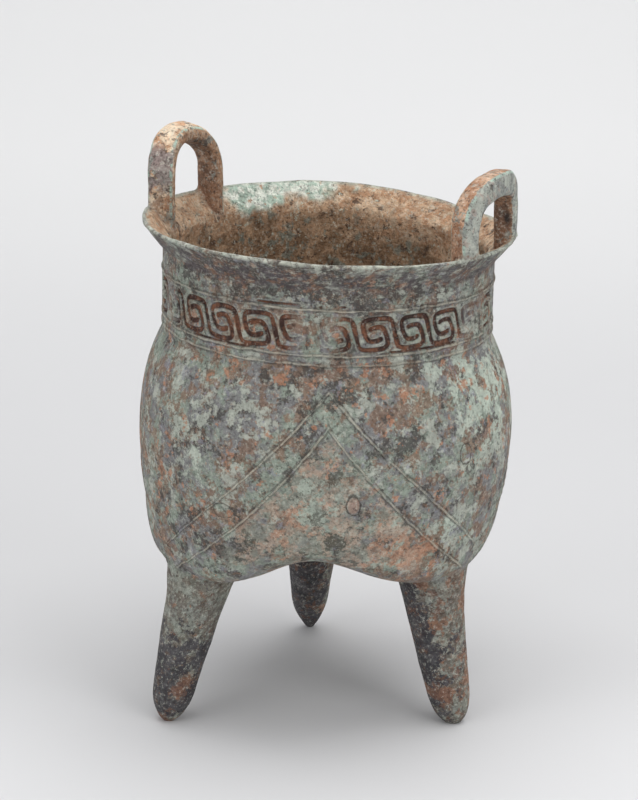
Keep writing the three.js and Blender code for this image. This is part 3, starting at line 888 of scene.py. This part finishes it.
def handle_skin(t, colour):
    """Orange and tan round the loops, grey-green on the right one's outer face."""
    out, loop, right = t.parts(t.attribute("loops"))
    left = t.less(1.0, right)
    grip = t.blend(t.patch(6, 0.44, 0.56, 12), (206, 158, 120), (234, 212, 184))
    grip = t.mix(right, grip, t.blend(t.patch(6, 0.44, 0.56, 64), (178, 130, 98), (208, 172, 144)))
    within = t.step(t.add(loop, t.ragged(5, 6, 0.7, 34, 1.6)), 0.1, -0.25)
    grip = t.mix(within, grip, t.blend(t.patch(4, 0.44, 0.56, 35), (124, 94, 76), (172, 134, 106)))
    facing = t.step(t.add(out, t.ragged(6, 7, 0.7, 36, 1.5)), 0.38, 0.55)
    outer = t.blend(t.patch(6, 0.45, 0.55, 37), (150, 156, 153), (184, 190, 180))
    outer = t.over(outer, t.patch(5, 0.55, 0.59, 58), 0.55, (184, 158, 146))
    outer = t.over(outer, t.patch(5, 0.59, 0.62, 59), 0.7, (112, 106, 106))
    grip = t.mix(t.times(facing, right, 0.95), grip, outer)
    blotch = t.noise(9, 9, 0.7, 38)
    near_limb = t.times(left, t.step(t.level, 216, 211), t.step(loop, 0.2, 0.6))
    lower = t.add(t.level, t.ragged(6, 6, 0.7, 65, 30.0))
    near_limb = t.times(near_limb, t.step(lower, 195, 199))
    grip = t.over(grip, t.times(near_limb, t.step(blotch, 0.41, 0.44)), 0.85, (140, 131, 132))
    rimmed = t.step(t.size_of(t.add(blotch, -0.42)), 0.03, 0.01)
    grip = t.over(grip, t.times(near_limb, rimmed), 0.7, (66, 58, 54))
    inward = t.times(left, t.step(out, -0.6, -0.85), t.patch(6, 0.42, 0.5, 39))
    grip = t.over(grip, inward, 0.7, (172, 132, 102))
    root = t.times(t.step(t.level, 200, 193), t.patch(4, 0.42, 0.5, 66))
    grip = t.over(grip, t.times(root, t.less(1.0, t.times(facing, right))), 0.75, (152, 112, 86))
    corner = t.step(t.size_of(t.add(t.size_of(out), -0.68)), 0.28, 0.1)
    chipped = t.patch(4, 0.45, 0.52, 40, detail=6, roughness=0.72)
    grip = t.layers(
        grip,
        (t.times(corner, t.step(loop, 0.1, 0.4), chipped), 0.9, (180, 204, 190)),
        (t.patch(5, 0.57, 0.6, 13), 0.8, (150, 154, 146)),
        (t.patch(4, 0.58, 0.61, 14), 0.8, (84, 72, 66)),
    )
    calm = t.less(1.0, t.times(facing, right, 0.6))
    grip = t.over(grip, t.times(t.fine_dark, calm), 0.6, (106, 78, 60))
    grip = t.over(grip, t.times(t.fine_pale, calm), 0.55, (226, 220, 206))
    black = t.step(t.distance((66.0, 15.0, 199.5), (0.8, 1.0, 0.4)), 2.5, 1.7)
    grip = t.over(grip, t.times(black, within), 0.9, (34, 32, 34))
    return t.mix(t.handle, colour, grip)


def inner_skin(t, colour):
    """Earthy browns inside, orange higher up and painted lighter there as painted light, with grey-green
    mottles and the crust at the back.
    """
    earth = t.blend(t.patch(7, 0.42, 0.58, 16), (134, 106, 80), (174, 142, 112))
    earth = t.over(earth, t.patch(6, 0.54, 0.58, 17), 0.75, (124, 132, 122))
    # Painted light: the upper inner wall is painted lighter, partly its orange crust, reaching lower
    # where the blots in the tones lie.
    upper = t.step(t.add(t.level, t.ragged(12, 8, 0.72, 41, 90), t.times(t.rust, 13.0)), 172, 190)
    orange_and_painted_light = t.blend(t.patch(5, 0.44, 0.56, 42), (186, 142, 108), (212, 182, 152))
    earth = t.mix(t.times(upper, 0.8), earth, orange_and_painted_light)
    earth = t.layers(
        earth,
        (t.patch(4, 0.57, 0.61, 18), 0.85, (82, 62, 50)),
        (t.patch(3, 0.6, 0.63, 52), 0.8, (196, 200, 184)),
        (t.fine_dark, 0.45, (78, 58, 46)),
        (t.times(t.fine_pale, upper), 0.4, (222, 210, 190)),
    )
    colour = t.mix(t.inside, colour, earth)
    crusty = t.blend(t.patch(4, 0.45, 0.55, 19), (170, 189, 174), (228, 232, 220))
    crusty = t.over(crusty, t.patch(4, 0.57, 0.61, 53), 0.8, (184, 140, 106))
    crusty = t.over(crusty, t.fine_dark, 0.5, (96, 84, 70))
    return t.mix(t.crust, colour, crusty)


def lip_skin(t, colour):
    """The lip's pale edge, the painted shade under it and the streaks on the upper neck."""
    edge = t.times(t.step(t.level, 189.7, 190.6), t.less(1.0, t.handle), t.patch(5, 0.4, 0.52, 43))
    colour = t.over(colour, edge, 0.7, (184, 188, 174))
    # Painted shade on the neck under the lip's overhang, in ragged dark patches, with rust patches in the
    # same band.
    under = t.times(t.step(t.level, 178, 181), t.step(t.level, 189.6, 187), t.outside)
    colour = t.over(colour, t.times(under, t.patch(7, 0.46, 0.52, 54)), 0.75, (84, 76, 80))
    colour = t.over(colour, t.times(under, t.patch(6, 0.54, 0.58, 60)), 0.7, (140, 106, 84))
    upper_neck = t.times(t.step(t.level, 166, 175), t.outside)
    flat = t.vector("MULTIPLY", t.at, (1.0, 1.0, 2.8))
    streak = t.step(t.noise(4, 8, 0.75, 61, flat), 0.52, 0.58)
    colour = t.over(colour, t.times(upper_neck, streak), 0.6, (82, 72, 70))
    streak = t.step(t.noise(5, 8, 0.75, 62, flat), 0.56, 0.61)
    return t.over(colour, t.times(upper_neck, streak), 0.6, (168, 172, 160))


def groove_skin(t, colour):
    """Dark floors with orange-brown earth in the band's grooves, partly painted shade in the recesses,
    and pale worn edges.
    """
    # Groove floors darkened: earth in the grooves, and painted shade in the recess.
    floor = t.blend(t.patch(5, 0.44, 0.58, 20), (68, 44, 38), (128, 84, 62))
    colour = t.mix(t.times(t.step(t.groove, 0.1, -0.22), t.open_groove, 0.97), colour, floor)
    rim = t.times(t.step(t.groove, 0.05, 0.25), t.step(t.groove, 0.85, 0.4))
    rim = t.times(rim, t.step(t.noise(3, 4, 0.6, 21), 0.38, 0.6))
    return t.over(colour, rim, 0.6, (166, 168, 154))


def raised_lines(t):
    """Crests and flanks of the rings round the neck and of the zigzag lines down the belly, for their
    relief, a painted highlight on the crests and painted shade on the flanks.
    """
    bearing = t.times(t.math("ARCTAN2", t.north, t.east), 180 / math.pi)
    aside = t.less(t.math("FLOORED_MODULO", t.add(bearing, -ZIGZAG_TURN), 360.0 / LOBES), 180.0 / LOBES)
    aside = t.size_of(aside)
    wobble = t.ragged(6, 5, 0.6, 55, 2.2)
    crest, flank = 0.0, 0.0
    for level in NECK_LINES:
        gap = t.size_of(t.add(t.level, wobble, -level))
        crest = t.most(crest, t.step(gap, 0.65, 0.25))
        flank = t.most(flank, t.times(t.step(gap, 0.55, 0.75), t.step(gap, 1.3, 0.95), 0.8))
    for apex, slope, curve, reach in ZIGZAGS:
        line = t.add(apex, t.times(aside, t.add(slope, t.times(aside, curve))))
        steep = t.times(t.add(slope, t.times(aside, 2 * curve)), 0.82)
        length = t.math("SQRT", t.add(1.0, t.times(steep, steep)))
        gap = t.size_of(t.math("DIVIDE", t.add(t.level, wobble, t.times(line, -1.0)), length))
        here = t.step(aside, reach + 1, reach - 4)
        crest = t.most(crest, t.times(t.step(gap, 0.62, 0.25), here))
        flank = t.most(flank, t.times(t.step(gap, 0.5, 0.7), t.step(gap, 1.25, 0.9), here))
    crest = t.times(crest, t.outside)
    flank = t.times(flank, t.outside, t.patch(7, 0.42, 0.56, 56, detail=6, roughness=0.65))
    return crest, flank


def line_skin(t, colour):
    """Raised lines, with a painted highlight on top and painted shade beside."""
    kept = t.patch(6, 0.4, 0.52, 22, detail=5, roughness=0.65)
    # Painted highlight along the crests, in patches, and painted shade along the flanks.
    colour = t.over(colour, t.times(t.crest, kept), 0.6, (178, 172, 156))
    return t.over(colour, t.flank, 0.55, (72, 62, 54))


def front_marks(t, colour):
    """A few marks on the front: an oval stain and small cracked rings."""
    marks = [
        (surface_point(307.3, 101.6), (1, 1, 0.62), 2.5, 0.3, 0.85),
        (surface_point(344.1, 116.3), (1, 1, 0.8), 3.0, 0.26, 0.8),
        (surface_point(267, 96.8), (0.8, 0.8, 1.3), 3.4, 0.26, 0.6),
    ]
    for point, stretch, size, width, strength in marks:
        reach = t.add(t.distance(point, stretch), t.ragged(4, 4, 0.6, 23, 3.0))
        outline = t.times(t.step(reach, size - 2 * width, size), t.step(reach, size + 2 * width, size))
        colour = t.over(colour, outline, strength, (58, 50, 45))
    oval = t.step(t.distance(*marks[0][:2]), 2.4, 1.8)
    return t.over(colour, oval, 0.7, (166, 138, 122))


def grain_skin(t, colour):
    """Fine grain over all, a little stronger inside and on the legs and handles."""
    lighter = t.times(t.step(t.grain, 0.53, 0.66), t.add(0.38, t.times(t.rougher, 0.2)))
    colour = t.mix(lighter, colour, linear(198, 198, 186))
    darker = t.times(t.step(t.grain, 0.47, 0.34), t.add(0.55, t.times(t.rougher, 0.15)))
    colour = t.mix(darker, colour, linear(58, 51, 46))
    colour = t.over(colour, t.times(t.fine_dark, t.less(1.0, t.inside)), 0.55, (68, 61, 57))
    cloud = t.step(t.noise(4, 6, 0.7, 57), 0.38, 0.62)
    scale = {0: colour, "Scale": t.add(0.9, t.times(cloud, 0.28))}
    return t.node("VectorMath", "Vector", scale, operation="SCALE")


def relief_height(t):
    """Height of the relief that is too fine for the mesh, in millimetres."""
    return t.add(
        t.times(t.noise(3.0, 7, 0.7, 27), t.add(0.75, t.times(t.inside, 1.4), t.times(t.handle, 1.1))),
        t.times(t.grain, t.add(0.32, t.times(t.rougher, 0.35))),
        t.times(t.crest, 0.6),
        t.times(t.flank, -0.15),
        t.times(t.step(t.groove, 0.2, -0.35), t.open_groove, -0.55),
        t.times(t.pale, 0.1),
        t.times(t.charcoal, -0.08),
        t.times(t.fine_dark, -0.14),
        t.times(t.step(t.noise(0.7, 3, 0.6, 25), 0.62, 0.75), -0.12),
    )


def bronze_material():
    t = Tree("corroded_bronze")
    t.at = t.attribute("upright")
    t.east, t.north, t.level = t.parts(t.at)
    t.mint, t.rust, t.dark = t.parts(t.attribute("tones"))
    t.inside, t.handle, t.leg = t.parts(t.attribute("parts"))
    t.groove, t.wear, t.crust = t.parts(t.attribute("relief"))
    t.panel = t.attribute("panel", "Fac")
    t.rougher = t.math("MINIMUM", t.add(t.inside, t.handle, t.leg), 1.0)
    t.outside = t.less(1.0, t.rougher)
    t.open_groove = t.less(1.0, t.times(t.wear, 0.9))
    t.fine_pale = t.patch(2.2, 0.55, 0.63, 30, detail=6, roughness=0.78)
    t.fine_dark = t.patch(1.8, 0.56, 0.64, 31, detail=6, roughness=0.78)
    t.charcoal = t.patch(8, 0.55, 0.59, 3, t.times(t.dark, 0.09))
    t.pale = t.patch(9, 0.55, 0.585, 4, t.times(t.mint, 0.09))
    t.grain = t.noise(1.3, 5, 0.75, 24)
    t.crest, t.flank = raised_lines(t)

    colour = outer_skin(t)
    for layer in (leg_skin, handle_skin, inner_skin, lip_skin, groove_skin, line_skin, front_marks):
        colour = layer(t, colour)
    colour = grain_skin(t, colour)
    t.put(colour, t.shader.inputs["Base Color"])
    shine = t.add(0.62, t.times(t.noise(5, 5, 0.6, 26), 0.3), t.times(t.inside, 0.12))
    t.put(t.math("MINIMUM", shine, 0.98), t.shader.inputs["Roughness"])
    t.shader.inputs["Metallic"].default_value = 0.0
    t.shader.inputs["Specular IOR Level"].default_value = 0.35
    bump = t.nodes.new("ShaderNodeBump")
    bump.inputs["Strength"].default_value = 1.0
    bump.inputs["Distance"].default_value = 0.001
    t.links.new(relief_height(t), bump.inputs["Height"])
    t.links.new(bump.outputs[0], t.shader.inputs["Normal"])
    return t.material


vessel.data.materials.clear()
vessel.data.materials.append(bronze_material())
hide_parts("vessel")
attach(vessel, "root")


# Stage, light and camera
RIGHT = Vector((math.cos(VIEW_AZIMUTH), math.sin(VIEW_AZIMUTH), 0))
NEAR = Vector((math.sin(VIEW_AZIMUTH), -math.cos(VIEW_AZIMUTH), 0))
UP = Vector((0, 0, 1))


def stage_object():
    """A floor that sweeps up behind into a backdrop, its colour graded as painted light."""
    back, side = -np.array(NEAR.xy), np.array(RIGHT.xy)
    profile = [(-2.5, 0.0), (-1.2, 0.0), (-0.6, 0.0), (0.0, 0.0), (0.9, 0.0)]
    for i in range(1, 17):
        turn = 0.5 * math.pi * i / 16
        profile.append((0.9 + 0.9 * math.sin(turn), 0.9 * (1 - math.cos(turn))))
    profile += [(1.8, 1.6), (1.8, 3.2)]
    across = np.linspace(-3, 3, 13)
    points = [(*(back * depth + side * s), height) for depth, height in profile for s in across]
    n = len(across)
    starts = [i * n + j for i in range(len(profile) - 1) for j in range(n - 1)]
    made = scratch_object("floor", np.array(points), [(a, a + 1, a + n + 1, a + n) for a in starts])
    mesh = made.data
    mesh.polygons.foreach_set("use_smooth", np.ones(len(mesh.polygons), bool))
    t = Tree("paper")
    coords = t.nodes.new("ShaderNodeTexCoord").outputs["Object"]
    tone = t.blend(t.noise(0.4, 3, 0.5, vector=coords), (198, 198, 199), (201, 201, 202))
    x, y, _ = t.parts(coords)
    depth = t.add(t.times(x, float(back[0])), t.times(y, float(back[1])))
    # Painted light on the floor: lighter towards the camera and much lighter towards the back, darker
    # around the vessel.
    tone = t.mix(t.step(depth, 0.04, -0.07), tone, linear(210, 210, 211))
    tone = t.mix(t.step(depth, 0.3, 1.1), tone, linear(228, 228, 228))
    t.put(tone, t.shader.inputs["Base Color"])
    t.shader.inputs["Roughness"].default_value = 0.95
    t.shader.inputs["Specular IOR Level"].default_value = 0.1
    mesh.materials.append(t.material)


def soft_light(name, location, target, size, power):
    data = bpy.data.lights.new(name, "AREA")
    data.shape = "RECTANGLE"
    data.size = data.size_y = size
    data.energy = power
    made = bpy.data.objects.new(name, data)
    made.location = location
    aim = Vector(target) - Vector(location)
    made.rotation_euler = aim.to_track_quat("-Z", "Y").to_euler()
    bpy.context.scene.collection.objects.link(made)


def from_view(right, near, up):
    return RIGHT * right + NEAR * near + UP * up


stage_object()
soft_light("overhead", from_view(0.15, -0.1, 1.5), (0, 0, 0.1), 1.4, 18.5)
soft_light("front_right", from_view(1.1, 1.2, 1.0), (0, 0, 0.12), 0.9, 7.6)
soft_light("front_left", from_view(-1.3, 1.0, 0.7), (0, 0, 0.12), 1.0, 5.8)

world = bpy.data.worlds.new("room")
world.use_nodes = True
world.node_tree.nodes["Background"].inputs["Color"].default_value = (0.93, 0.935, 0.95, 1)
world.node_tree.nodes["Background"].inputs["Strength"].default_value = 0.61
bpy.context.scene.world = world

camera_data = bpy.data.cameras.new("camera")
camera_data.lens = 104.89
camera_data.sensor_width = 36
camera_data.clip_start = 0.05
camera_data.clip_end = 20
camera = bpy.data.objects.new("camera", camera_data)
back = NEAR * math.cos(VIEW_ELEVATION) + UP * math.sin(VIEW_ELEVATION)
target = RIGHT * AIM_RIGHT + UP * AIM_UP - Vector((MIDDLE[0], MIDDLE[1], 0)) / 1000
up = back.cross(RIGHT)
if up.z < 0:
    up = -up
place = Matrix((RIGHT, up, back)).transposed().to_4x4()
place.translation = target + back * VIEW_DISTANCE
camera.matrix_world = place
bpy.context.scene.collection.objects.link(camera)
bpy.context.scene.camera = camera
bpy.context.scene.view_settings.view_transform = "Standard"
